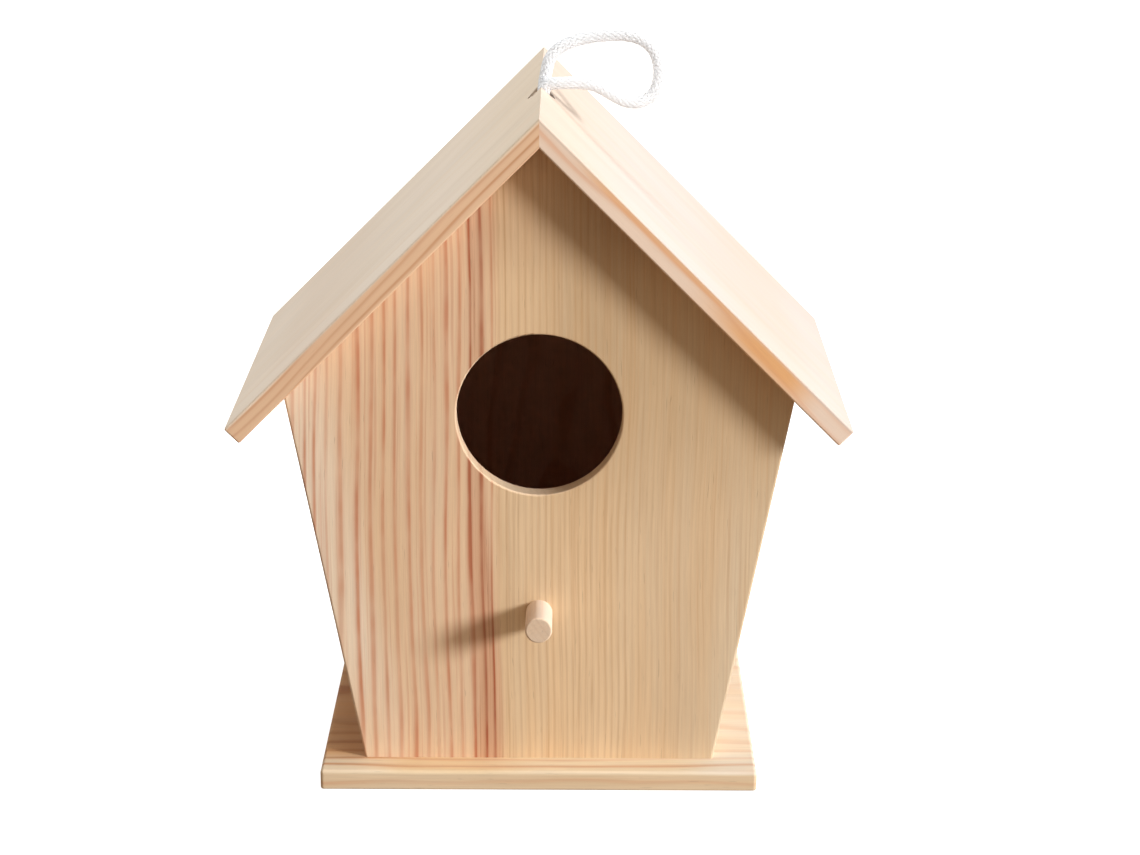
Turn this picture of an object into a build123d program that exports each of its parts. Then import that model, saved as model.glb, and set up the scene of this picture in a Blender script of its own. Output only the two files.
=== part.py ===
from build123d import *
import math
import os

# Nesting box shaped like a small house, in millimetres.
# X is left to right, the entrance faces -Y and Z is up.
# The origin is the centre of the underside of the base board.

# Driving dimensions
BOARD = 4.8                # thickness of every board
BASE_WIDTH = 102.0
BODY_DEPTH = 88.0          # outer face of the front panel to outer face of the back panel
BODY_FOOT_WIDTH = 82.0     # width of the body where it stands on the base
WALL_LEAN = 11.0           # degrees that each side wall leans outwards
RIDGE_HEIGHT = 158.7       # underside of the base to the top of the ridge
ROOF_SLOPE = 45.0          # degrees below horizontal
ROOF_BOARD_LENGTH = 100.4  # along the slope, ridge to eave
BASE_OVERHANG = 8.0        # base board beyond the body, front and back
ROOF_OVERHANG = 8.0        # roof boards beyond the body, front and back

ENTRANCE_DIA = 38.0
ENTRANCE_HEIGHT = 89.0     # centre of the entrance above the underside of the base
PERCH_DIA = 6.2
PERCH_HEIGHT = 41.3
PERCH_REACH = 12.0         # perch in front of the front panel
PERCH_INSIDE = 1.2         # perch behind the front panel, in the chamber

CORD_DIA = 3.0
CORD_HOLE_DIA = 6.4        # drilled straight down through the ridge joint
CORD_HOLE_SETBACK = 36.0   # centre of the cord hole behind the front of the body
KNOT_DROP = 11.0           # top of the knot below the top of the ridge
KNOT_DIA = 9.4
KNOT_HEIGHT = 8.0
KNOT_SHOULDER = 1.4        # radius round the knot's top and bottom
TAIL_LENGTH = 7.0          # cut ends of the cord below the knot
TAIL_SPLAY = 14.0          # degrees that each cut end leans out

BRAD_DIA = 1.2
BRAD_HEAD_DIA = 2.6
BRAD_HEAD_THICKNESS = 0.6
BRAD_LENGTH = 18.0
BRAD_POINT_LENGTH = 1.5
BRAD_SPACING = 52.0        # between the two brads under each panel

# Softened edges
PANEL_EDGE_RADIUS = 0.6
ROOF_EDGE_RADIUS = 0.5
BASE_CORNER_RADIUS = 0.8
BASE_TOP_RADIUS = 0.8
BASE_UNDERSIDE_RADIUS = 0.5
ENTRANCE_EDGE_RADIUS = 0.4
PERCH_EDGE_RADIUS = 0.5
SEAM_CHAMFER = 0.2         # taken off the edges of boards that meet flush

# Route of the hanging cord: X to the right, Y to the back and Z up, from the
# point where the axis of the cord hole meets the top of the ridge. It leaves the
# knot, comes up the front of the hole, makes the loop and goes down behind itself.
CORD_ROUTE = [
    (0.3, -1.51, -KNOT_DROP),
    (0.3, -1.51, -7.8),
    (0.31, -1.52, -4.5),
    (0.35, -1.52, -1.0),
    (1.6, -1.7, 1.0),
    (3.9, -2.1, 1.9),
    (7.0, -2.4, 1.6),
    (10.2, -2.6, 0.9),
    (13.2, -2.7, -0.5),
    (16.3, -2.6, -2.4),
    (19.7, -2.3, -3.9),
    (23.2, -1.8, -3.9),
    (26.0, -1.2, -2.2),
    (27.4, -0.4, 1.0),
    (27.5, 0.5, 4.5),
    (26.4, 1.3, 7.9),
    (23.7, 2.0, 10.4),
    (20.1, 2.5, 11.4),
    (16.0, 2.8, 11.4),
    (11.9, 2.9, 10.9),
    (7.9, 2.8, 10.1),
    (4.3, 2.5, 8.6),
    (1.9, 2.1, 6.2),
    (1.1, 1.8, 2.9),
    (0.5, 1.53, -0.7),
    (0.31, 1.52, -4.2),
    (0.3, 1.51, -7.5),
    (0.3, 1.51, -KNOT_DROP),
]

# Derived sizes
slope = math.radians(ROOF_SLOPE)
lean = math.tan(math.radians(WALL_LEAN))
front = -BODY_DEPTH / 2
back = BODY_DEPTH / 2
base_depth = BODY_DEPTH + 2 * BASE_OVERHANG
roof_depth = BODY_DEPTH + 2 * ROOF_OVERHANG
apex = RIDGE_HEIGHT - BOARD / math.cos(slope)            # inside corner of the ridge
wall_across = BOARD / math.cos(math.radians(WALL_LEAN))  # side wall measured along X
cord_hole_y = front + CORD_HOLE_SETBACK


def point_under_roof(foot_x):
    """Where the line that leans out from foot_x on the base meets the roof's underside."""
    rise = math.tan(slope)
    z = (apex - rise * (foot_x - lean * BOARD)) / (1 + rise * lean)
    return (foot_x + lean * (z - BOARD), z)


wall_foot = BODY_FOOT_WIDTH / 2
wall_top = point_under_roof(wall_foot)
wall_foot_inner = wall_foot - wall_across
wall_top_inner = point_under_roof(wall_foot_inner)
eave_top = (ROOF_BOARD_LENGTH * math.cos(slope), RIDGE_HEIGHT - ROOF_BOARD_LENGTH * math.sin(slope))
eave_under = (eave_top[0] - BOARD * math.sin(slope), eave_top[1] - BOARD * math.cos(slope))

# Brads: driven up through the base board into the feet of the front and back panels,
# with their heads flush with the underside of the base
with BuildPart() as brad:
    with BuildSketch(Plane.XZ) as brad_profile:
        with BuildLine():
            Polyline(
                (0, 0),
                (BRAD_HEAD_DIA / 2, 0),
                (BRAD_HEAD_DIA / 2, BRAD_HEAD_THICKNESS),
                (BRAD_DIA / 2, BRAD_HEAD_THICKNESS),
                (BRAD_DIA / 2, BRAD_LENGTH - BRAD_POINT_LENGTH),
                (0, BRAD_LENGTH),
                close=True,
            )
        make_face()
    revolve(axis=Axis.Z)

with BuildPart() as base_brads:
    with GridLocations(BRAD_SPACING, BODY_DEPTH - BOARD, 2, 2):
        add(brad.part)

# Base board: its top edge is sanded rounder than the edge underneath
with BuildPart() as base_board:
    Box(BASE_WIDTH, base_depth, BOARD, align=(Align.CENTER, Align.CENTER, Align.MIN))
    fillet(base_board.edges().filter_by(Axis.Z), BASE_CORNER_RADIUS)
    fillet(base_board.faces().sort_by(Axis.Z)[-1].edges(), BASE_TOP_RADIUS)
    fillet(base_board.faces().sort_by(Axis.Z)[0].edges(), BASE_UNDERSIDE_RADIUS)
    add(base_brads.part, mode=Mode.SUBTRACT)


def gable_at(y):
    """The outline shared by the front and back panels, standing on the base at y."""
    with BuildSketch(Plane.XZ.offset(-y)) as gable:
        with BuildLine():
            Polyline(
                (-wall_foot, BOARD),
                (wall_foot, BOARD),
                wall_top,
                (0, apex),
                (-wall_top[0], wall_top[1]),
                close=True,
            )
        make_face()
    return gable.sketch


def leaning_edges(panel, y):
    """The two leaning edges of a gable panel in the plane at y."""
    edges = panel.edges().filter_by(lambda edge: abs(edge.center().Y - y) < 0.01)
    return edges.filter_by(lambda edge: BOARD + 1 < edge.center().Z < wall_top[1])


# Front panel: a gable with the entrance, the perch's socket and the brads' pilot holes
with BuildPart() as front_panel:
    extrude(gable_at(front), amount=-BOARD)
    fillet(leaning_edges(front_panel, front), PANEL_EDGE_RADIUS)
    chamfer(leaning_edges(front_panel, front + BOARD), SEAM_CHAMFER)
    with Locations(Plane.XZ.offset(-front)):
        with Locations((0, PERCH_HEIGHT)):
            Hole(PERCH_DIA / 2, depth=BOARD)
        with Locations((0, ENTRANCE_HEIGHT)):
            Hole(ENTRANCE_DIA / 2, depth=BOARD)
    rims = front_panel.edges().filter_by(GeomType.CIRCLE).group_by(SortBy.RADIUS)[-1]
    fillet(rims.sort_by(Axis.Y)[0], ENTRANCE_EDGE_RADIUS)
    add(base_brads.part, mode=Mode.SUBTRACT)

# Back panel: the same gable without openings
with BuildPart() as back_panel:
    extrude(gable_at(back), amount=BOARD)
    fillet(leaning_edges(back_panel, back), PANEL_EDGE_RADIUS)
    chamfer(leaning_edges(back_panel, back - BOARD), SEAM_CHAMFER)
    add(base_brads.part, mode=Mode.SUBTRACT)

# Side walls: between the panels, flush with their leaning edges, cut level at the foot
# and bevelled at the top to the slope of the roof
with BuildPart() as right_side_wall:
    with BuildSketch(Plane.XZ.offset(-front - BOARD)):
        with BuildLine():
            Polyline((wall_foot_inner, BOARD), (wall_foot, BOARD), wall_top, wall_top_inner, close=True)
        make_face()
    extrude(amount=-(BODY_DEPTH - 2 * BOARD))
    outer_face = right_side_wall.faces().sort_by(Axis.X)[-1]
    seams = outer_face.edges().filter_by(lambda edge: abs(edge.center().Y) > BODY_DEPTH / 2 - 2 * BOARD)
    chamfer(seams, SEAM_CHAMFER)

with BuildPart() as left_side_wall:
    mirror(right_side_wall.part, about=Plane.YZ)

# Roof boards: mitred at the ridge, square at the eave, with half of the cord hole each
with BuildPart() as right_roof_board:
    with BuildSketch(Plane.XZ.offset(roof_depth / 2)):
        with BuildLine():
            Polyline((0, RIDGE_HEIGHT), eave_top, eave_under, (0, apex), close=True)
        make_face()
    extrude(amount=-roof_depth)
    ends = right_roof_board.faces().filter_by(Axis.Y).edges()
    eave = right_roof_board.edges().filter_by(Axis.Y).group_by(Axis.X)[1:]
    sanded = ends.filter_by(lambda edge: edge.center().X > 1) + eave[0] + eave[1]
    fillet(sanded, ROOF_EDGE_RADIUS)
    with Locations((0, cord_hole_y, RIDGE_HEIGHT)):
        Cylinder(CORD_HOLE_DIA / 2, RIDGE_HEIGHT - eave_top[1], mode=Mode.SUBTRACT)

with BuildPart() as left_roof_board:
    mirror(right_roof_board.part, about=Plane.YZ)

# Perch: a dowel glued into its socket, a little proud inside the chamber
with BuildPart() as perch:
    with BuildSketch(Plane.XZ.offset(PERCH_REACH - front)):
        with Locations((0, PERCH_HEIGHT)):
            Circle(PERCH_DIA / 2)
    extrude(amount=-(PERCH_REACH + BOARD + PERCH_INSIDE))
    fillet(perch.edges().filter_by(GeomType.CIRCLE), PERCH_EDGE_RADIUS)

# Hanging cord: straight runs joined by arcs as large as the runs allow
ridge_top = Vector(0, cord_hole_y, RIDGE_HEIGHT)
route = [ridge_top + Vector(*point) for point in CORD_ROUTE]
radii = []
for before, corner, after in zip(route, route[1:], route[2:]):
    run_in = corner - before
    run_out = after - corner
    half_turn = math.radians(run_in.get_angle(run_out)) / 2
    radii.append(0.45 * min(run_in.length, run_out.length) / math.tan(half_turn))

with BuildPart() as hanging_cord:
    with BuildLine() as cord_line:
        FilletPolyline(*route, radius=radii)
    with BuildSketch(Plane(origin=route[0], z_dir=route[1] - route[0])):
        Circle(CORD_DIA / 2)
    sweep()

print("cord radii:", " ".join(f"{radius:.1f}" for radius in radii))
cord_length = sum(edge.length for edge in cord_line.edges())
print(f"cord length {cord_length:.1f}, volume {hanging_cord.part.volume:.1f},",
      f"section times length {math.pi * CORD_DIA ** 2 / 4 * cord_length:.1f}")

# Knot: both ends of the cord tied together under the ridge, wider than the hole,
# with the two cut ends below it
knot_top = RIDGE_HEIGHT - KNOT_DROP
with BuildPart() as cord_knot:
    with Locations((0, cord_hole_y, knot_top)):
        Cylinder(KNOT_DIA / 2, KNOT_HEIGHT, align=(Align.CENTER, Align.CENTER, Align.MAX))
    fillet(cord_knot.edges().filter_by(GeomType.CIRCLE), KNOT_SHOULDER)
    for side in (-1, 1):
        with Locations(Location((0, cord_hole_y + side * CORD_DIA / 2, knot_top - KNOT_HEIGHT / 2),
                                (side * TAIL_SPLAY, 0, 0))):
            Cylinder(CORD_DIA / 2, TAIL_LENGTH + KNOT_HEIGHT / 2,
                     align=(Align.CENTER, Align.CENTER, Align.MAX))

pieces = {
    "base_board": base_board,
    "base_brads": base_brads,
    "front_panel": front_panel,
    "back_panel": back_panel,
    "left_side_wall": left_side_wall,
    "right_side_wall": right_side_wall,
    "left_roof_board": left_roof_board,
    "right_roof_board": right_roof_board,
    "perch": perch,
    "hanging_cord": hanging_cord,
    "cord_knot": cord_knot,
}
os.makedirs("parts", exist_ok=True)
for name, piece in pieces.items():
    piece.part.label = name
    export_step(piece.part, f"parts/{name}.step")
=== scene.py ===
import math

import bmesh
import bpy
from mathutils import Matrix, Vector


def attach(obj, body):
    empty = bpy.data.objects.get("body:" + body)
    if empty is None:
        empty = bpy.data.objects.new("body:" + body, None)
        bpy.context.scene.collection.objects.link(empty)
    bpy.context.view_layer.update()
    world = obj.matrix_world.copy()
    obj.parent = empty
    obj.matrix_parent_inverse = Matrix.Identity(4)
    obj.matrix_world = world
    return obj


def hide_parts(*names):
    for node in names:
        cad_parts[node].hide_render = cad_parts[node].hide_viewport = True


# Looks of a small wooden nesting box. Every object is in metres in the row frame: X to
# the right, the entrance faces -Y, Z up. The patterns of the materials and the route of
# the cord are in millimetres of the same frame.

MM = 0.001

# Sizes of the object that the patterns follow, in millimetres
RIDGE_HEIGHT = 158.7
FRONT_FACE = -44.0
PANEL_INNER_FACE = 39.2   # of the front and back panels, from the middle
WALL_INNER_FACE = 36.1    # of the side walls, from the middle, level with their foot
WALL_LEAN = 11.0          # degrees
BODY_FOOT_WIDTH = 82.0
PERCH_HEIGHT = 41.3
PERCH_END = -56.0
ENTRANCE_HEIGHT = 89.0
ENTRANCE_RADIUS = 19.0

# Hanging cord, in metres
CORD_EXIT = Vector((0.0, -0.008, 0.1587))
BRAID_STEP = 0.00025      # length of one ring of faces along a strand
BRAID_PITCH = 0.0130      # length in which a strand goes once round the cord
STRAND_WIDTH = 0.00084    # a strand lies flat, wider than it is thick
STRAND_THICKNESS = 0.00046
STRAND_CENTRE = 0.00121   # from the middle of the cord to the middle of a strand
STRAND_WEAVE = 0.00006    # how far a strand rises and dips as it passes the others
STRAND_SIDES = 8
STRANDS_EACH_WAY = 8
CORE_RADIUS = 0.00122
CORE_SIDES = 16

# Route of the hanging cord, in millimetres from the middle of the cord hole at the
# top of the ridge
CORD_ROUTE = [
    (0.3, -1.51, -11.0),
    (0.3, -1.51, -7.8),
    (0.32, -1.51, -4.6),
    (0.36, -1.5, -1.3),
    (1.55, -1.58, 0.6),
    (3.7, -2.2, 0.8),
    (6.9, -2.7, 1.0),
    (10.1, -2.8, 1.0),
    (13.2, -2.8, 0.2),
    (16.2, -2.6, -1.6),
    (19.5, -2.3, -3.5),
    (23.1, -1.8, -3.8),
    (26.0, -1.2, -2.2),
    (27.4, -0.4, 1.0),
    (27.5, 0.5, 4.5),
    (26.4, 1.3, 7.9),
    (23.7, 2.0, 10.4),
    (20.1, 2.5, 11.4),
    (16.0, 2.8, 11.4),
    (11.9, 2.9, 10.9),
    (7.9, 2.8, 10.1),
    (4.3, 2.5, 8.6),
    (1.9, 2.1, 6.2),
    (1.1, 1.8, 2.9),
    (0.5, 1.53, -0.7),
    (0.31, 1.52, -4.2),
    (0.3, 1.51, -7.5),
    (0.3, 1.51, -11.0),
]

# Knot under the ridge, in metres
KNOT_CENTRE = Vector((0.0, -0.008, 0.1437))
KNOT_SPREAD = 0.00105     # scale of the knot's three lobes
KNOT_RISE = 0.0024        # how far its turns climb over each other
KNOT_STEPS = 120
TAIL_SPLAY = 14.0         # degrees
TAIL_DROP = 0.0092        # from the middle of the knot to the cut ends
TAIL_START = (0.0008, 0.0004, -0.001)    # of one cut end, from the middle of the knot
TAIL_SPREAD = 0.0012      # how far aside it is where it comes out of the knot
TAIL_BOW = 0.0003

# Camera, in metres, degrees and millimetres of lens and sensor
CAMERA_PLACE = Vector((0.00699, -0.6419, 0.26331))
CAMERA_PITCH = 16.5       # degrees below the horizontal
CAMERA_ROLL = 0.25
CAMERA_LENS = 86.44
SENSOR_WIDTH = 36.0

# Front panel: middle of each dark growth line, from the left edge to where the fine
# even lines begin, in millimetres
WIDE_RINGS = [
    -62.0, -59.2, -56.4, -53.5, -50.9, -48.3, -45.6, -41.6, -38.2, -35.4,
    -32.8, -29.4, -26.5, -23.8, -21.1, -18.1, -15.4, -12.8, -10.7,
]
FINE_RING = 1.55
FINE_RING_COUNT = 45

# Where each kind of wood of the front panel begins and is full, across it in millimetres
FINE_WOOD = (-11.5, -8.0)
PLAIN_WOOD = (14.0, 34.0)

# The red band between the broad and the fine rings, at two heights in millimetres: how
# far left of the middle it lies, and how far it reaches to each side
BAND_HEIGHTS = (15.0, 80.0)
BAND_PLACES = (12.2, 14.2)
BAND_REACHES = (4.4, 3.2)

# Roof boards, in millimetres: how deep the top face's colour goes, which is partly painted
# light and shade, and where the orange streaks of the edges fade in and out, down the slope from the
# ridge
ROOF_SKIN = (-1.1, -0.25)
EDGE_STREAK_BEGINS = (46.0, 72.0)
EDGE_STREAK_ENDS = (80.0, 92.0)
ARRIS_STREAK_BEGINS = (8.0, 24.0)
ARRIS_STREAK_ENDS = (76.0, 92.0)

# Base board, in millimetres: how far below it and in front of its middle the middle of
# the tree lies, how far apart its growth rings are, and where its paler top skin begins
BASE_PITH_DEPTH = (48.0, 52.5)
BASE_PITH_FORWARD = 6.0
BASE_RING = 2.7
BASE_SKIN = (3.6, 4.6)

# Tones that multiply a colour of the wood, and how light its end grain is
WARM_TONE = (1.0, 0.93, 0.84, 1.0)
# Painted shade of the dark nest chamber, on the faces inside it
CHAMBER_SHADE_TONE = (0.76, 0.62, 0.72, 1.0)
GABLE_TONE = (0.82, 0.79, 0.78, 1.0)
END_GRAIN_LIGHT = 0.82

# Light of the room from all round, and more of it from some sides: the axis that it
# comes along, where along it the light begins and is full, its strength and its colour
WARM = (1.0, 0.7, 0.46, 1.0)
WHITE = (1.0, 1.0, 1.0, 1.0)
ROOM_COLOUR = (1.0, 0.72, 0.5, 1.0)
ROOM_STRENGTH = 0.135
ROOM_SIDES = [
    (2, 0.7, 1.0, 0.6, WHITE),
    (1, 0.1, 0.9, 0.45, WHITE),
    (0, 0.2, 0.9, 0.3, WHITE),
    (1, 0.2, -0.7, 0.19, WARM),
]

# The paper under and behind the object: radius and height of its sweep, in metres
FLOOR_PROFILE = [
    (1.0, 0.0), (2.0, 0.0), (2.6, 0.08), (3.1, 0.32), (3.4, 0.8), (3.5, 1.6), (3.5, 4.0),
]
FLOOR_SIDES = 96
FLOOR_GAP = 0.0002        # how far the paper lies below the base


def srgb(red, green, blue):
    """The linear colour, with alpha, of three display values from 0 to 255."""
    made = []
    for value in (red, green, blue):
        share = value / 255
        made.append(share / 12.92 if share <= 0.04045 else ((share + 0.055) / 1.055) ** 2.4)
    return (*made, 1.0)


class Paint:
    """One node material. Its calls add nodes and return their output sockets."""

    def __init__(self, name):
        self.material = bpy.data.materials.new(name)
        self.material.use_nodes = True
        self.tree = self.material.node_tree
        self.shader = self.tree.nodes["Principled BSDF"]

    def node(self, kind, **settings):
        made = self.tree.nodes.new(kind)
        for name, value in settings.items():
            setattr(made, name, value)
        return made

    def feed(self, socket, value):
        if isinstance(value, bpy.types.NodeSocket):
            self.tree.links.new(value, socket)
        else:
            socket.default_value = value

    def math(self, operation, first, second=0.0, third=0.0):
        made = self.node("ShaderNodeMath", operation=operation)
        for socket, value in zip(made.inputs, (first, second, third)):
            self.feed(socket, value)
        return made.outputs[0]

    def add(self, first, second):
        return self.math("ADD", first, second)

    def times(self, first, second):
        return self.math("MULTIPLY", first, second)

    def place(self):
        """X, Y and Z of the surface point in the row frame, in millimetres."""
        scaled = self.node("ShaderNodeVectorMath", operation="SCALE")
        self.feed(scaled.inputs[0], self.node("ShaderNodeTexCoord").outputs["Object"])
        self.feed(scaled.inputs["Scale"], 1 / MM)
        parts = self.node("ShaderNodeSeparateXYZ")
        self.feed(parts.inputs[0], scaled.outputs[0])
        return parts.outputs

    def vector(self, x, y, z):
        made = self.node("ShaderNodeCombineXYZ")
        for socket, value in zip(made.inputs, (x, y, z)):
            self.feed(socket, value)
        return made.outputs[0]

    def stretched(self, first, second, third, sizes, shift=0.0):
        """A noise position: three lengths in millimetres, each divided by its own size."""
        parts = []
        for value, size in zip((first, second, third), sizes):
            parts.append(self.math("MULTIPLY_ADD", value, 1 / size, shift))
        return self.vector(*parts)

    def noise(self, vector, detail=2.0, roughness=0.5):
        made = self.node("ShaderNodeTexNoise")
        self.feed(made.inputs["Vector"], vector)
        self.feed(made.inputs["Scale"], 1.0)
        self.feed(made.inputs["Detail"], detail)
        self.feed(made.inputs["Roughness"], roughness)
        return made.outputs["Fac"]

    def chance(self, value):
        """A number from 0 to 1 that is the same wherever value is the same."""
        made = self.node("ShaderNodeTexWhiteNoise", noise_dimensions="1D")
        self.feed(made.inputs["W"], value)
        return made.outputs["Value"]

    def spread(self, value, low, high, new_low=0.0, new_high=1.0, smooth=True):
        """Value taken from the range low to high into the range new_low to new_high."""
        made = self.node("ShaderNodeMapRange", clamp=True)
        made.interpolation_type = "SMOOTHSTEP" if smooth else "LINEAR"
        for name, number in (
            ("Value", value),
            ("From Min", low),
            ("From Max", high),
            ("To Min", new_low),
            ("To Max", new_high),
        ):
            self.feed(made.inputs[name], number)
        return made.outputs["Result"]

    def curve(self, value, points, straight=False):
        """Value, from 0 to 1, through a curve that passes through points."""
        made = self.node("ShaderNodeFloatCurve")
        line = made.mapping.curves[0]
        while len(line.points) < len(points):
            line.points.new(0.5, 0.5)
        for point, (x, y) in zip(line.points, points):
            point.location = (x, y)
            point.handle_type = "VECTOR" if straight else "AUTO"
        made.mapping.update()
        self.feed(made.inputs["Value"], value)
        return made.outputs[0]

    def blend(self, share, first, second, kind="MIX"):
        made = self.node("ShaderNodeMix", data_type="RGBA", blend_type=kind)
        self.feed(made.inputs["Factor"], share)
        self.feed(made.inputs[6], first)
        self.feed(made.inputs[7], second)
        return made.outputs[2]

    def toned(self, colour, tone):
        """The colour multiplied by a tone."""
        return self.blend(1.0, colour, tone, "MULTIPLY")

    def grey(self, value):
        """A number as a colour of equal parts, for multiplying another colour."""
        return self.vector(value, value, value)

    def distance(self, first, second):
        """How far a point is from the origin of two square directions."""
        squares = self.add(self.times(first, first), self.times(second, second))
        return self.math("SQRT", squares)

    def bump(self, height, distance, strength):
        made = self.node("ShaderNodeBump")
        self.feed(made.inputs["Height"], height)
        self.feed(made.inputs["Distance"], distance)
        self.feed(made.inputs["Strength"], strength)
        self.feed(self.shader.inputs["Normal"], made.outputs["Normal"])


# One growth ring, from its first pale wood to the end of its dark wood: the share of
# the ring's width, and how dark the wood is there
RING_PROFILE = [
    (0.0, 0.55),
    (0.1, 0.17),
    (0.24, 0.0),
    (0.5, 0.04),
    (0.7, 0.38),
    (0.82, 0.88),
    (0.9, 1.0),
    (1.0, 0.55),
]


def latewood(paint, ring, along, fade_length, weakest=0.35):
    """How much dark wood there is, from 0 to about 1. Ring counts growth rings across
    the board. Each ring has its own strength, and it fades in and out along the grain."""
    profile = paint.curve(paint.math("FRACT", ring), RING_PROFILE)
    number = paint.math("FLOOR", paint.add(ring, -0.4))
    strength = paint.spread(paint.chance(number), 0.0, 1.0, weakest, 1.0, smooth=False)
    stretch = paint.vector(paint.times(number, 3.7), paint.times(along, 1 / fade_length), 0.0)
    fading = paint.spread(paint.noise(stretch), 0.3, 0.7, 0.55, 1.15)
    return paint.times(paint.times(profile, strength), fading)


def finish_wood(
    paint,
    pale,
    dark,
    late,
    along,
    across,
    through,
    grain_axis,
    figure=1.0,
    chamber_shade_side=None,
):
    """Everything that all the boards share: slow colour change, fibres, resin canals,
    darker end grain, roughness and relief. Grain_axis is the fibres' direction, and
    figure is how plainly the fibres show. Chamber_shade_side is 1 where the wood faces
    the nest chamber; there the colour is darker and redder, painted shade of the dark chamber."""
    slow = paint.noise(paint.stretched(along, across, through, (55.0, 17.0, 17.0), 3.1), 3.0)
    warm = paint.noise(paint.stretched(along, across, through, (80.0, 5.0, 5.0), 11.7), 2.0)
    fibre = paint.noise(paint.stretched(along, across, through, (16.0, 0.5, 0.5)), 3.0, 0.6)
    hair = paint.noise(paint.stretched(along, across, through, (3.2, 0.17, 0.17), 7.3), 2.0, 0.7)
    canal = paint.noise(paint.stretched(along, across, through, (4.5, 0.36, 0.36), 5.9), 0.0)
    canal = paint.spread(canal, 0.76, 0.86)

    colour = paint.blend(late, pale, dark)
    tint = paint.spread(warm, 0.3, 0.7, 0.0, 0.6 * figure)
    colour = paint.blend(tint, colour, paint.toned(colour, WARM_TONE))
    light = paint.spread(slow, 0.25, 0.75, 0.96, 1.035)
    fibres = paint.spread(fibre, 0.2, 0.8, 1 - 0.08 * figure, 1 + 0.07 * figure, smooth=False)
    light = paint.times(light, fibres)
    light = paint.times(light, paint.spread(hair, 0.2, 0.8, 0.975, 1.022, smooth=False))
    light = paint.times(light, paint.math("MULTIPLY_ADD", canal, -0.14 * figure, 1.0))

    facing = paint.node("ShaderNodeVectorMath", operation="DOT_PRODUCT")
    paint.feed(facing.inputs[0], paint.node("ShaderNodeNewGeometry").outputs["Normal"])
    paint.feed(facing.inputs[1], grain_axis)
    end_grain = paint.spread(paint.math("ABSOLUTE", facing.outputs["Value"]), 0.75, 0.97)
    light = paint.times(light, paint.spread(end_grain, 0.0, 1.0, 1.0, END_GRAIN_LIGHT, smooth=False))
    # Painted shade: darker and redder where the wood faces the dark nest chamber
    if chamber_shade_side is not None:
        colour = paint.blend(chamber_shade_side, colour, paint.toned(colour, CHAMBER_SHADE_TONE))
    paint.feed(paint.shader.inputs["Base Color"], paint.toned(colour, paint.grey(light)))

    rough = paint.add(paint.spread(fibre, 0.2, 0.8, 0.56, 0.68), paint.times(end_grain, 0.12))
    paint.feed(paint.shader.inputs["Roughness"], rough)
    paint.feed(paint.shader.inputs["Specular IOR Level"], 0.45)

    height = paint.add(paint.times(fibre, 0.55), paint.times(hair, 0.3))
    height = paint.add(height, paint.times(late, 0.35))
    height = paint.add(height, paint.times(canal, -0.5))
    paint.bump(height, 0.00006, 0.45 * figure * figure)
    return paint.material


def front_panel_rings(paint, across, y, z):
    """How many growth rings lie to the left of a point across the front panel."""
    left = WIDE_RINGS[0]
    right = WIDE_RINGS[-1] + FINE_RING_COUNT * FINE_RING
    total = len(WIDE_RINGS) - 1 + FINE_RING_COUNT
    stops = [((place - left) / (right - left), ring / total) for ring, place in enumerate(WIDE_RINGS)]
    stops.append((1.0, 1.0))
    share = paint.math("DIVIDE", paint.add(across, -left), right - left)
    ring = paint.times(paint.curve(share, stops, straight=True), total)
    jitter = paint.noise(paint.stretched(across, y, z, (3.1, 40.0, 60.0), 4.4), 1.0)
    ring = paint.add(ring, paint.spread(jitter, 0.2, 0.8, -0.16, 0.16, smooth=False))
    return paint.add(ring, -0.08)


def front_panel_edges(paint, x, z, pale):
    """The colour of the pale wood, made paler and less yellow along the leaning edges.
    Along the left edge this is partly the wood's colour and partly painted light on the
    edge's shaded side.
    """
    slope = math.tan(math.radians(WALL_LEAN))
    half_width = paint.math("MULTIPLY_ADD", z, slope, BODY_FOOT_WIDTH / 2)
    left_margin = paint.add(half_width, x)
    right_margin = paint.math("SUBTRACT", half_width, x)
    # Partly painted light: paler along the left edge, whose rounded side faces away from the key light
    left_pale = paint.spread(left_margin, 6.0, 15.0, 1.0, 0.0)
    left_pale = paint.times(left_pale, paint.spread(z, 8.0, 34.0, 0.3, 1.0))
    pale = paint.blend(left_pale, pale, srgb(243, 227, 206))
    right_pale = paint.spread(right_margin, 3.0, 11.0, 1.0, 0.0)
    return paint.blend(right_pale, pale, srgb(226, 207, 178))


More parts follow.
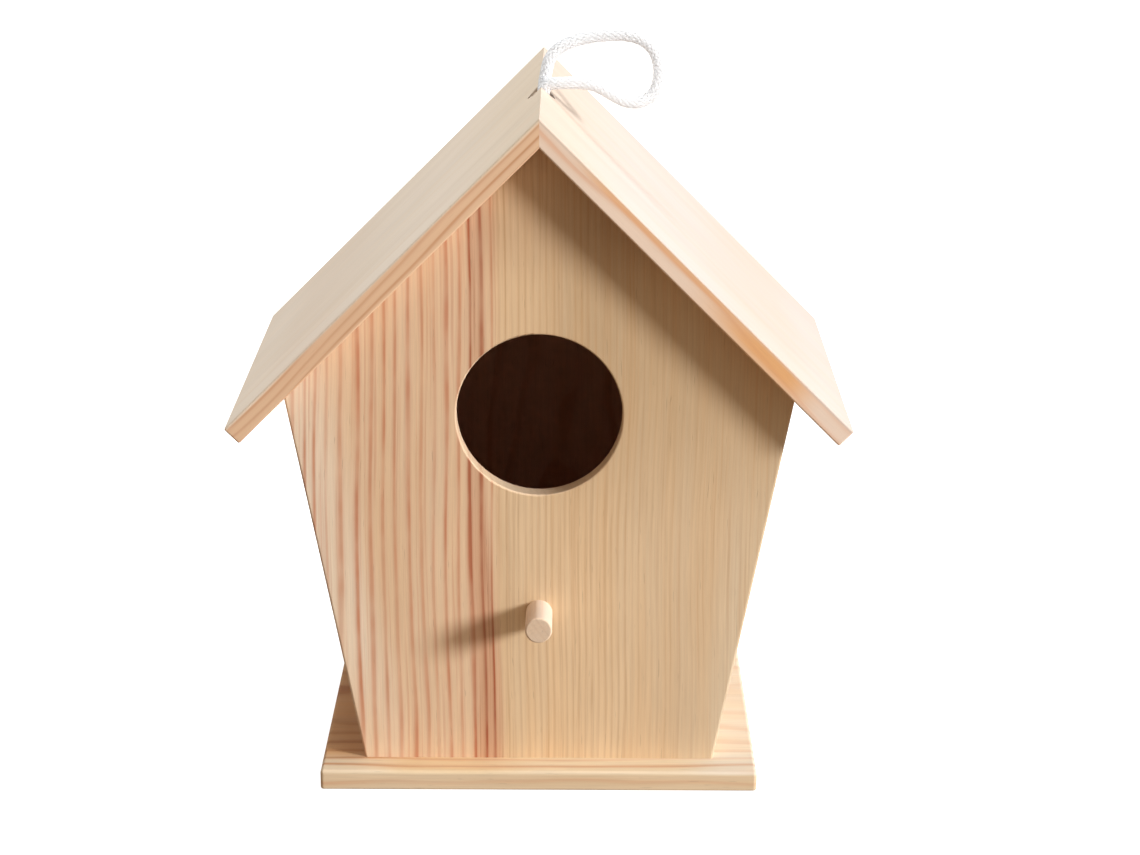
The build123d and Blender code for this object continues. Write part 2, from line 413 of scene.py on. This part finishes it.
def front_panel_pine():
    """Upright grain: broad reddish rings on the left, fine pale ones to the right."""
    paint = Paint("front_panel_pine")
    x, y, z = paint.place()
    wander = paint.noise(paint.stretched(x, y, z, (13.0, 13.0, 46.0), 2.2), 2.0)
    sway = paint.noise(paint.stretched(x, y, z, (60.0, 60.0, 70.0), 9.4), 0.0)
    across = paint.add(x, paint.spread(wander, 0.2, 0.8, -0.38, 0.38, smooth=False))
    across = paint.add(across, paint.spread(sway, 0.2, 0.8, -0.6, 0.6, smooth=False))
    across = paint.add(across, paint.times(paint.add(y, -FRONT_FACE), 0.16))

    fine = paint.spread(across, *FINE_WOOD)
    plain = paint.spread(across, *PLAIN_WOOD)
    late = latewood(paint, front_panel_rings(paint, across, y, z), z, 18.0, 0.5)
    share = paint.spread(fine, 0.0, 1.0, 0.9, 0.55, smooth=False)
    share = paint.times(share, paint.spread(plain, 0.0, 1.0, 1.0, 0.4, smooth=False))
    between = paint.noise(paint.stretched(across, y, z, (0.75, 3.0, 70.0), 6.6), 1.0, 0.6)
    between = paint.times(paint.spread(between, 0.5, 0.72), 0.36)
    late = paint.math("MAXIMUM", paint.times(late, share), between)

    # A broad red band where the two kinds of wood meet, wider towards the foot
    aside = paint.math("ABSOLUTE", paint.add(across, paint.spread(z, *BAND_HEIGHTS, *BAND_PLACES)))
    aside = paint.math("DIVIDE", aside, paint.spread(z, *BAND_HEIGHTS, *BAND_REACHES))
    band = paint.spread(aside, 0.2, 1.0, 1.0, 0.0)
    haze = paint.times(band, paint.spread(z, 15.0, 110.0, 0.62, 0.35))
    late = paint.math("MINIMUM", paint.times(late, paint.math("MULTIPLY_ADD", band, 0.45, 1.0)), 1.0)

    pale = paint.blend(fine, srgb(236, 209, 178), srgb(234, 208, 172))
    pale = paint.blend(plain, pale, srgb(222, 199, 167))
    pale = front_panel_edges(paint, x, z, pale)
    # Painted shade: the upper right of the panel darkens towards the soft edge of the roof's shadow
    eave_penumbra_shade = paint.times(paint.spread(z, 52.0, 100.0), paint.spread(across, -6.0, 12.0))
    pale = paint.blend(eave_penumbra_shade, pale, srgb(209, 184, 149))
    pale = paint.blend(haze, pale, srgb(206, 150, 116))
    dark = paint.blend(fine, srgb(205, 140, 108), srgb(196, 158, 118))
    dark = paint.blend(band, dark, srgb(172, 100, 70))

    # Darker towards the top of the gable, under the ridge of the roof
    gable = paint.times(paint.spread(z, 116.0, 134.0), paint.spread(across, -19.0, -12.0))
    pale = paint.blend(gable, pale, paint.toned(pale, GABLE_TONE))
    dark = paint.blend(gable, dark, paint.toned(dark, GABLE_TONE))

    # The wall of the entrance shows fewer of the growth lines; its paler colour is painted light, for
    # the lit crescent of the bore
    radius = paint.distance(x, paint.add(z, -ENTRANCE_HEIGHT))
    cut = paint.spread(radius, ENTRANCE_RADIUS + 0.1, ENTRANCE_RADIUS + 0.3, 1.0, 0.0)
    late = paint.times(late, paint.math("MULTIPLY_ADD", cut, -0.75, 1.0))
    pale = paint.blend(cut, pale, srgb(238, 214, 184))

    inner = paint.spread(y, -PANEL_INNER_FACE - 0.3, -PANEL_INNER_FACE - 0.1)
    axis = (0.0, 0.0, 1.0)
    return finish_wood(paint, pale, dark, late, z, across, y, axis, chamber_shade_side=inner)


def upright_pine(name, across_axis, lean_side, pith, spacing, pale, dark):
    """Flat-sawn wood with upright grain, for the back panel and the side walls. Pith is
    the middle of the tree: its place across the board and through it, in millimetres.
    Lean_side is the side that a wall leans to, -1 left or 1 right, and 0 if upright."""
    paint = Paint(name)
    x, y, z = paint.place()
    lean = paint.times(z, -lean_side * math.tan(math.radians(WALL_LEAN)))
    straight_x = paint.add(x, lean)
    across = y if across_axis == "Y" else x
    through = straight_x if across_axis == "Y" else y
    wander = paint.noise(paint.stretched(across, through, z, (30.0, 30.0, 62.0), pith[0]), 2.0)
    taper = paint.spread(wander, 0.2, 0.8, -3.2, 3.2, smooth=False)
    side = paint.add(across, -pith[0])
    deep = paint.add(paint.add(through, -pith[1]), paint.add(taper, paint.times(z, 0.035)))
    ring = paint.math("DIVIDE", paint.distance(side, deep), spacing)
    late = paint.times(latewood(paint, ring, z, 34.0), 0.62)
    if across_axis == "Y":
        outward = paint.times(straight_x, lean_side)
        inner = paint.spread(outward, WALL_INNER_FACE + 0.2, WALL_INNER_FACE)
    else:
        inner = paint.spread(y, PANEL_INNER_FACE + 0.3, PANEL_INNER_FACE + 0.1)
    axis = (0.0, 0.0, 1.0)
    return finish_wood(paint, pale, dark, late, z, across, through, axis, chamber_shade_side=inner)


def roof_pine(name, side, pith, spacing, pale, ridge, edge, dark, share, streak):
    """Grain down the slope. Side is -1 left or 1 right. Pith is the middle of the tree:
    how far back it lies, and how far below the top face. The top face has its own colours,
    pale and, near the ridge, ridge, which hold painted light and shade. Share is how
    strongly the growth rings show on the edges."""
    paint = Paint(name)
    x, y, z = paint.place()
    outward = paint.times(x, side)
    fall = paint.add(z, -RIDGE_HEIGHT)
    root = math.sqrt(0.5)
    down = paint.times(paint.math("SUBTRACT", outward, fall), root)
    depth = paint.times(paint.add(outward, fall), root)
    wander = paint.noise(paint.stretched(down, y, depth, (75.0, 28.0, 28.0), pith[0]), 2.0)
    rise = paint.add(paint.spread(wander, 0.2, 0.8, -2.4, 2.4, smooth=False), paint.times(down, 0.022))
    back = paint.add(y, -pith[0])
    deep = paint.add(paint.add(depth, pith[1]), rise)
    ring = paint.math("DIVIDE", paint.distance(back, deep), spacing)
    inside = paint.spread(depth, *ROOF_SKIN, 1.0, 0.1)
    late = paint.times(paint.times(latewood(paint, ring, down, 40.0), share), inside)
    mottle = paint.noise(paint.stretched(down, y, depth, (34.0, 9.0, 9.0), 8.2), 2.0)
    mottle = paint.spread(mottle, 0.35, 0.75, 0.0, 0.45)
    near_ridge = paint.add(paint.spread(down, 3.0, 34.0, 0.9, 0.0), mottle)
    pale = paint.blend(paint.math("MINIMUM", near_ridge, 1.0), pale, ridge)
    pale = paint.blend(inside, pale, edge)

    # Orange streaks: one across the edges near the eave, one along the top of the edges
    near_eave = paint.spread(down, *EDGE_STREAK_BEGINS)
    near_eave = paint.times(near_eave, paint.spread(down, *EDGE_STREAK_ENDS, 1.0, 0.0))
    near_eave = paint.times(near_eave, paint.spread(depth, -4.6, -2.8, 0.6, 1.0))
    arris = paint.times(paint.spread(depth, -2.0, -1.2), paint.spread(depth, -0.6, -0.2, 0.75, 0.0))
    arris = paint.times(arris, paint.spread(down, *ARRIS_STREAK_BEGINS))
    arris = paint.times(arris, paint.spread(down, *ARRIS_STREAK_ENDS, 1.0, 0.0))
    both = paint.math("MAXIMUM", paint.times(near_eave, inside), arris)
    pale = paint.blend(both, pale, streak)
    axis = (side * root, 0.0, -root)
    return finish_wood(paint, pale, dark, late, down, y, depth, axis, 0.4)


def base_pine():
    """Grain from left to right, with the middle of the tree below the board."""
    paint = Paint("base_board_pine")
    x, y, z = paint.place()
    wander = paint.noise(paint.stretched(x, y, z, (70.0, 24.0, 24.0), 6.1), 2.0)
    deep = paint.add(z, paint.spread(wander, 0.2, 0.8, *BASE_PITH_DEPTH, smooth=False))
    radius = paint.distance(paint.add(y, BASE_PITH_FORWARD), deep)
    late = latewood(paint, paint.math("DIVIDE", radius, BASE_RING), x, 60.0)
    late = paint.times(late, paint.spread(x, -48.0, -24.0, 1.1, 0.6))
    # The front edge shows the rings less. Browner at the left end, behind the panel's front:
    #     partly the wood's own brown bands, partly painted shade where the house shades the base
    late = paint.times(late, paint.spread(y, -51.8, -51.0, 0.55, 1.0))
    brown_and_shade = paint.spread(paint.add(x, paint.times(y, 0.15)), -50.0, -36.0, 1.0, 0.0)
    brown_and_shade = paint.times(brown_and_shade, paint.spread(y, -48.0, -41.0))
    top = paint.spread(z, *BASE_SKIN)
    pale = paint.blend(top, srgb(233, 213, 183), srgb(248, 234, 208))
    pale = paint.blend(paint.times(top, paint.spread(x, 30.0, 46.0)), pale, srgb(245, 238, 224))
    orange = paint.times(paint.spread(x, -40.0, -30.0), paint.spread(x, -16.0, 2.0, 1.0, 0.0))
    pale = paint.blend(paint.times(top, orange), pale, srgb(247, 226, 190))
    pale = paint.blend(brown_and_shade, pale, srgb(229, 186, 138))
    dark = paint.blend(brown_and_shade, srgb(212, 155, 108), srgb(186, 124, 78))
    return finish_wood(paint, pale, dark, late, x, y, z, (1.0, 0.0, 0.0))


def perch_birch():
    """Close pale wood of the dowel, with its grain along the perch."""
    paint = Paint("perch_birch")
    x, y, z = paint.place()
    height = paint.add(z, -PERCH_HEIGHT)
    ring = paint.math("DIVIDE", paint.add(paint.times(x, 0.8), paint.times(height, 0.6)), 1.3)
    late = paint.times(latewood(paint, ring, y, 12.0), 0.3)
    end = paint.spread(y, PERCH_END + 0.1, PERCH_END + 0.5, 1.0, 0.0)
    pale = paint.blend(end, srgb(244, 230, 217), srgb(245, 223, 199))
    dark = srgb(214, 176, 144)
    return finish_wood(paint, pale, dark, late, y, x, height, (0.0, 1.0, 0.0), 0.92)


def cord_cotton():
    """White braided yarn: fine twisted threads along each strand, soft and matt."""
    paint = Paint("cord_cotton")
    x, y, z = paint.place()
    thread = paint.noise(paint.stretched(x, y, z, (0.5, 0.5, 0.5)), 4.0, 0.7)
    fuzz = paint.noise(paint.stretched(x, y, z, (0.12, 0.12, 0.12), 4.0), 2.0, 0.6)
    soil = paint.noise(paint.stretched(x, y, z, (6.0, 6.0, 6.0), 1.3), 1.0)
    light = paint.spread(thread, 0.25, 0.75, 0.95, 1.02)
    light = paint.times(light, paint.spread(fuzz, 0.2, 0.8, 0.97, 1.02))
    soiled = paint.spread(soil, 0.4, 0.7, 0.0, 0.5)
    colour = paint.blend(soiled, srgb(247, 250, 255), srgb(243, 246, 253))
    paint.feed(paint.shader.inputs["Base Color"], paint.toned(colour, paint.grey(light)))
    paint.feed(paint.shader.inputs["Roughness"], paint.spread(thread, 0.2, 0.8, 0.78, 0.92))
    paint.feed(paint.shader.inputs["Sheen Weight"], 0.3)
    paint.feed(paint.shader.inputs["Subsurface Weight"], 0.6)
    paint.feed(paint.shader.inputs["Subsurface Radius"], (1.0, 1.0, 1.0))
    paint.feed(paint.shader.inputs["Subsurface Scale"], 0.001)
    paint.bump(paint.add(thread, fuzz), 0.00008, 0.35)
    return paint.material


def brad_steel():
    """Bright wire-nail steel with fine scratches and a few darker specks."""
    paint = Paint("brad_steel")
    x, y, z = paint.place()
    scratch = paint.noise(paint.stretched(x, y, z, (0.05, 1.6, 1.6)), 2.0)
    speck = paint.noise(paint.stretched(x, y, z, (0.35, 0.35, 0.35), 8.8), 3.0)
    dull = paint.spread(speck, 0.55, 0.75, 0.0, 0.7)
    colour = paint.blend(dull, srgb(205, 205, 208), srgb(128, 122, 116))
    paint.feed(paint.shader.inputs["Base Color"], colour)
    paint.feed(paint.shader.inputs["Metallic"], 1.0)
    paint.feed(paint.shader.inputs["Roughness"], paint.spread(scratch, 0.2, 0.8, 0.22, 0.42))
    paint.bump(paint.add(scratch, dull), 0.00002, 0.4)
    return paint.material


def cord_line(points, name):
    """Points along the smooth line of a route, in metres."""
    curve = bpy.data.curves.new(name, "CURVE")
    curve.dimensions = "3D"
    spline = curve.splines.new("NURBS")
    spline.points.add(len(points) - 1)
    for control, point in zip(spline.points, points):
        control.co = (*point, 1.0)
    spline.order_u = 3
    spline.use_endpoint_u = True
    spline.resolution_u = 16
    holder = bpy.data.objects.new(name, curve)
    bpy.context.scene.collection.objects.link(holder)
    bpy.context.view_layer.update()
    shown = holder.evaluated_get(bpy.context.evaluated_depsgraph_get())
    mesh = bpy.data.meshes.new_from_object(shown)
    line = [vertex.co.copy() for vertex in mesh.vertices]
    bpy.data.objects.remove(holder)
    bpy.data.curves.remove(curve)
    bpy.data.meshes.remove(mesh)
    return line


def evenly(line, step):
    """The same line with its points a step apart."""
    total = sum((b - a).length for a, b in zip(line, line[1:]))
    count = max(2, round(total / step))
    made = [line[0].copy()]
    wanted = total / count
    walked = 0.0
    target = wanted
    for a, b in zip(line, line[1:]):
        length = (b - a).length
        while target <= walked + length and len(made) < count:
            made.append(a.lerp(b, (target - walked) / length))
            target += wanted
        walked += length
    made.append(line[-1].copy())
    return made


def frames_along(line):
    """Two directions square to the line at each of its points, without twist."""
    frames = []
    side = None
    for index in range(len(line)):
        ahead = line[min(index + 1, len(line) - 1)]
        behind = line[max(index - 1, 0)]
        forward = (ahead - behind).normalized()
        if side is None:
            side = forward.orthogonal().normalized()
        side = (side - forward * side.dot(forward)).normalized()
        frames.append((side.copy(), forward.cross(side)))
    return frames


def add_tube(shape, centres, frames, wide, thick, sides):
    """One closed tube of faces in shape, round the given centres. Its section is an
    oval, wide along each frame's first direction and thick along its second."""
    rings = []
    for centre, (side, up) in zip(centres, frames):
        ring = []
        for corner in range(sides):
            turn = 2 * math.pi * corner / sides
            out = side * (math.cos(turn) * wide / 2) + up * (math.sin(turn) * thick / 2)
            ring.append(shape.verts.new(centre + out))
        rings.append(ring)
    for ring, following in zip(rings, rings[1:]):
        for corner in range(sides):
            beside = (corner + 1) % sides
            shape.faces.new((ring[corner], ring[beside], following[beside], following[corner]))
    shape.faces.new(tuple(reversed(rings[0])))
    shape.faces.new(tuple(rings[-1]))


def add_braid(shape, line):
    """A round braid of flat strands over a core, along an evenly spaced line."""
    frames = frames_along(line)
    add_tube(shape, line, frames, 2 * CORE_RADIUS, 2 * CORE_RADIUS, CORE_SIDES)
    rate = 2 * math.pi / BRAID_PITCH
    for way in (1, -1):
        for strand in range(STRANDS_EACH_WAY):
            offset = 0.0 if way > 0 else 0.5
            start = 2 * math.pi * (strand + offset) / STRANDS_EACH_WAY
            centres = []
            outwards = []
            for index, (point, (side, up)) in enumerate(zip(line, frames)):
                turned = rate * index * BRAID_STEP
                turn = start + way * turned
                out = STRAND_CENTRE + way * STRAND_WEAVE * math.sin(STRANDS_EACH_WAY * turned)
                outward = side * math.cos(turn) + up * math.sin(turn)
                centres.append(point + outward * out)
                outwards.append(outward)
            flat = []
            for (side, up), outward in zip(frames_along(centres), outwards):
                forward = side.cross(up)
                wide = outward.cross(forward).normalized()
                flat.append((wide, wide.cross(forward)))
            add_tube(shape, centres, flat, STRAND_WIDTH, STRAND_THICKNESS, STRAND_SIDES)


def piece_of(shape, name, material):
    """A shown object made of the faces in shape."""
    bmesh.ops.recalc_face_normals(shape, faces=shape.faces)
    mesh = bpy.data.meshes.new(name)
    shape.to_mesh(mesh)
    shape.free()
    mesh.polygons.foreach_set("use_smooth", [True] * len(mesh.polygons))
    mesh.materials.append(material)
    piece = bpy.data.objects.new(name, mesh)
    bpy.context.scene.collection.objects.link(piece)
    return piece


def knot_line():
    """The closed line of an overhand knot, ending where it began."""
    line = []
    for index in range(KNOT_STEPS + 1):
        angle = 2 * math.pi * index / KNOT_STEPS
        x = math.sin(angle) + 2 * math.sin(2 * angle)
        y = math.cos(angle) - 2 * math.cos(2 * angle)
        z = -math.sin(3 * angle)
        line.append(KNOT_CENTRE + Vector((x * KNOT_SPREAD, y * KNOT_SPREAD, z * KNOT_RISE)))
    return line


def tail_line(side):
    """One cut end of the cord, from inside the knot to below it."""
    aside, forward, down = TAIL_START
    lean = math.tan(math.radians(TAIL_SPLAY)) * side
    start = KNOT_CENTRE + Vector((side * aside, side * forward, down))
    end = KNOT_CENTRE + Vector((side * TAIL_SPREAD + lean * TAIL_DROP, side * forward, -TAIL_DROP))
    middle = start.lerp(end, 0.5) + Vector((side * TAIL_BOW, 0.0, 0.0))
    return [start, middle, end]


def knot_piece(material):
    """The knot and its two cut ends."""
    shape = bmesh.new()
    add_braid(shape, evenly(knot_line(), BRAID_STEP))
    for side in (1, -1):
        add_braid(shape, evenly(cord_line(tail_line(side), "tail_route"), BRAID_STEP))
    knot = piece_of(shape, "knot_tied", material)
    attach(knot, "root")
    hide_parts("cord_knot")
    return knot


def cord_piece(material):
    """The hanging loop, braided along its route."""
    route = [CORD_EXIT + Vector(point) * MM for point in CORD_ROUTE]
    line = evenly(cord_line(route, "cord_route"), BRAID_STEP)
    shape = bmesh.new()
    add_braid(shape, line)
    cord = piece_of(shape, "hanging_loop", material)
    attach(cord, "root")
    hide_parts("hanging_cord")
    return cord


def wear(node, material):
    """Gives a CAD node its material."""
    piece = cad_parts[node]
    piece.data.materials.clear()
    piece.data.materials.append(material)


def add_camera():
    """The camera, in front of the box and above it, pitched down towards it."""
    pitch = math.radians(CAMERA_PITCH)
    roll = math.radians(CAMERA_ROLL)
    right = Vector((1, 0, 0))
    up = Vector((0, math.sin(pitch), math.cos(pitch)))
    ahead = Vector((0, math.cos(pitch), -math.sin(pitch)))
    across = right * math.cos(roll) + up * math.sin(roll)
    over = up * math.cos(roll) - right * math.sin(roll)
    turn = Matrix((across, over, -ahead)).transposed().to_4x4()
    lens = bpy.data.cameras.new("camera")
    lens.lens = CAMERA_LENS
    lens.sensor_width = SENSOR_WIDTH
    lens.clip_start = 0.01
    lens.clip_end = 40.0
    camera = bpy.data.objects.new("camera", lens)
    camera.matrix_world = Matrix.Translation(CAMERA_PLACE) @ turn
    bpy.context.scene.collection.objects.link(camera)
    bpy.context.scene.camera = camera


def add_lamp(name, towards, distance, width, watts, colour, aim=(0.0, 0.0, 0.08)):
    """A round softbox. Towards is the direction from the object to the lamp, and aim is
    the point that it faces."""
    data = bpy.data.lights.new(name, "AREA")
    data.shape = "DISK"
    data.size = width
    data.energy = watts
    data.color = colour
    lamp = bpy.data.objects.new(name, data)
    direction = Vector(towards).normalized()
    lamp.location = Vector(aim) + direction * distance
    lamp.rotation_mode = "QUATERNION"
    lamp.rotation_quaternion = direction.to_track_quat("Z", "Y")
    bpy.context.scene.collection.objects.link(lamp)
    return lamp


def light_only(lamp, pieces):
    """Keeps a lamp's light to the given pieces."""
    lit = bpy.data.collections.new(lamp.name + "_lights")
    for piece in pieces:
        lit.objects.link(piece)
    lamp.light_linking.receiver_collection = lit


def add_world():
    """Soft light from all round, warm and dim in front, and brighter and white from
    above, behind and the right."""
    world = bpy.data.worlds.new("studio")
    bpy.context.scene.world = world
    world.use_nodes = True
    tree = world.node_tree
    total = tree.nodes["Background"]
    total.inputs["Color"].default_value = ROOM_COLOUR
    total.inputs["Strength"].default_value = ROOM_STRENGTH
    direction = tree.nodes.new("ShaderNodeTexCoord")
    parts = tree.nodes.new("ShaderNodeSeparateXYZ")
    tree.links.new(direction.outputs["Generated"], parts.inputs[0])
    for axis, low, high, amount, colour in ROOM_SIDES:
        spread = tree.nodes.new("ShaderNodeMapRange")
        spread.interpolation_type = "SMOOTHSTEP"
        spread.inputs["From Min"].default_value = low
        spread.inputs["From Max"].default_value = high
        spread.inputs["To Max"].default_value = amount
        tree.links.new(parts.outputs[axis], spread.inputs["Value"])
        side = tree.nodes.new("ShaderNodeBackground")
        side.inputs["Color"].default_value = colour
        tree.links.new(spread.outputs["Result"], side.inputs["Strength"])
        added = tree.nodes.new("ShaderNodeAddShader")
        tree.links.new(total.outputs[0], added.inputs[0])
        tree.links.new(side.outputs[0], added.inputs[1])
        total = added
    tree.links.new(total.outputs[0], tree.nodes["World Output"].inputs["Surface"])


def floor_white():
    """Pale seamless paper, bright enough to keep the shadow on it faint."""
    paint = Paint("floor_paper")
    tooth = paint.noise(paint.stretched(*paint.place(), (1.5, 1.5, 1.5)), 3.0)
    colour = paint.grey(paint.spread(tooth, 0.2, 0.8, 0.7, 0.74))
    paint.feed(paint.shader.inputs["Base Color"], colour)
    paint.feed(paint.shader.inputs["Roughness"], 0.9)
    paint.feed(paint.shader.inputs["Emission Color"], WHITE)
    paint.feed(paint.shader.inputs["Emission Strength"], 0.88)
    return paint.material


def add_floor():
    """A round sheet of paper that sweeps up into a wall far from the object."""
    shape = bmesh.new()
    rings = []
    for radius, height in FLOOR_PROFILE:
        ring = []
        for corner in range(FLOOR_SIDES):
            turn = 2 * math.pi * corner / FLOOR_SIDES
            place = (radius * math.cos(turn), radius * math.sin(turn), height - FLOOR_GAP)
            ring.append(shape.verts.new(place))
        rings.append(ring)
    shape.faces.new(tuple(rings[0]))
    for ring, following in zip(rings, rings[1:]):
        for corner in range(FLOOR_SIDES):
            beside = (corner + 1) % FLOOR_SIDES
            shape.faces.new((ring[corner], following[corner], following[beside], ring[beside]))
    mesh = bpy.data.meshes.new("floor")
    shape.to_mesh(mesh)
    shape.free()
    mesh.polygons.foreach_set("use_smooth", [True] * len(mesh.polygons))
    mesh.materials.append(floor_white())
    floor = bpy.data.objects.new("floor", mesh)
    bpy.context.scene.collection.objects.link(floor)
    floor.visible_diffuse = False
    floor.visible_glossy = False
    floor.visible_shadow = False


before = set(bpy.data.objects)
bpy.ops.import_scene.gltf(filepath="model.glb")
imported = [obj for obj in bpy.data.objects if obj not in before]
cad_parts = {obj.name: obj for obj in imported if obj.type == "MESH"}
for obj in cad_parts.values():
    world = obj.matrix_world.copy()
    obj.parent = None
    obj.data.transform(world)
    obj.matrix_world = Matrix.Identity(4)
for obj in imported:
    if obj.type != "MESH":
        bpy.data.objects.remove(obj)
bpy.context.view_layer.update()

add_camera()

cotton = cord_cotton()
knot = knot_piece(cotton)
cord = cord_piece(cotton)

wear("front_panel", front_panel_pine())
wear(
    "back_panel",
    upright_pine(
        "back_panel_pine",
        across_axis="X",
        lean_side=0,
        pith=(9.0, -6.0),
        spacing=2.9,
        pale=srgb(230, 202, 168),
        dark=srgb(200, 148, 106),
    ),
)
wear(
    "left_side_wall",
    upright_pine(
        "left_wall_pine",
        across_axis="Y",
        lean_side=-1,
        pith=(14.0, 8.0),
        spacing=2.6,
        pale=srgb(229, 201, 167),
        dark=srgb(200, 149, 108),
    ),
)
wear(
    "right_side_wall",
    upright_pine(
        "right_wall_pine",
        across_axis="Y",
        lean_side=1,
        pith=(-11.0, 8.0),
        spacing=2.7,
        pale=srgb(230, 203, 170),
        dark=srgb(202, 150, 108),
    ),
)
wear(
    "left_roof_board",
    roof_pine(
        "left_roof_pine",
        side=-1,
        pith=(-47.0, 34.0),
        spacing=2.0,
        # The top face's pale and ridge colours are partly the wood's and partly painted light, for a
        # face out of the key light
        pale=srgb(248, 237, 222),
        ridge=srgb(245, 232, 212),
        edge=srgb(235, 202, 170),
        dark=srgb(203, 148, 109),
        share=0.76,
        streak=srgb(234, 199, 167),
    ),
)
wear(
    "right_roof_board",
    roof_pine(
        "right_roof_pine",
        side=1,
        pith=(-30.0, 40.0),
        spacing=2.8,
        # The top face's pale and ridge colours are darker and greyer: painted shade that holds back
        # the brightest light on this face
        pale=srgb(210, 200, 195),
        ridge=srgb(214, 198, 184),
        edge=srgb(242, 223, 207),
        dark=srgb(226, 168, 124),
        share=0.48,
        streak=srgb(238, 186, 132),
    ),
)
wear("base_board", base_pine())
wear("perch", perch_birch())
wear("base_brads", brad_steel())

add_world()
add_lamp(
    "key_softbox",
    towards=(0.834, -0.479, 0.275),
    distance=2.2,
    width=0.52,
    watts=48.5,
    colour=(1.0, 0.995, 0.98),
)
add_lamp(
    "fill_softbox",
    towards=(0.72, -0.4, 0.56),
    distance=1.4,
    width=0.9,
    watts=1.0,
    colour=(1.0, 0.98, 0.95),
)
add_lamp(
    "top_softbox",
    towards=(-0.16, 0.15, 0.97),
    distance=1.3,
    width=0.48,
    watts=8.5,
    colour=(0.9, 0.97, 1.0),
)
cord_fill = add_lamp(
    "cord_softbox",
    towards=(-0.25, -0.9, 0.35),
    distance=1.2,
    width=1.0,
    watts=11.0,
    colour=(0.92, 0.97, 1.0),
    aim=(0.01, -0.008, 0.16),
)
light_only(cord_fill, [cord, knot])
add_floor()

bpy.context.scene.view_settings.view_transform = "Standard"
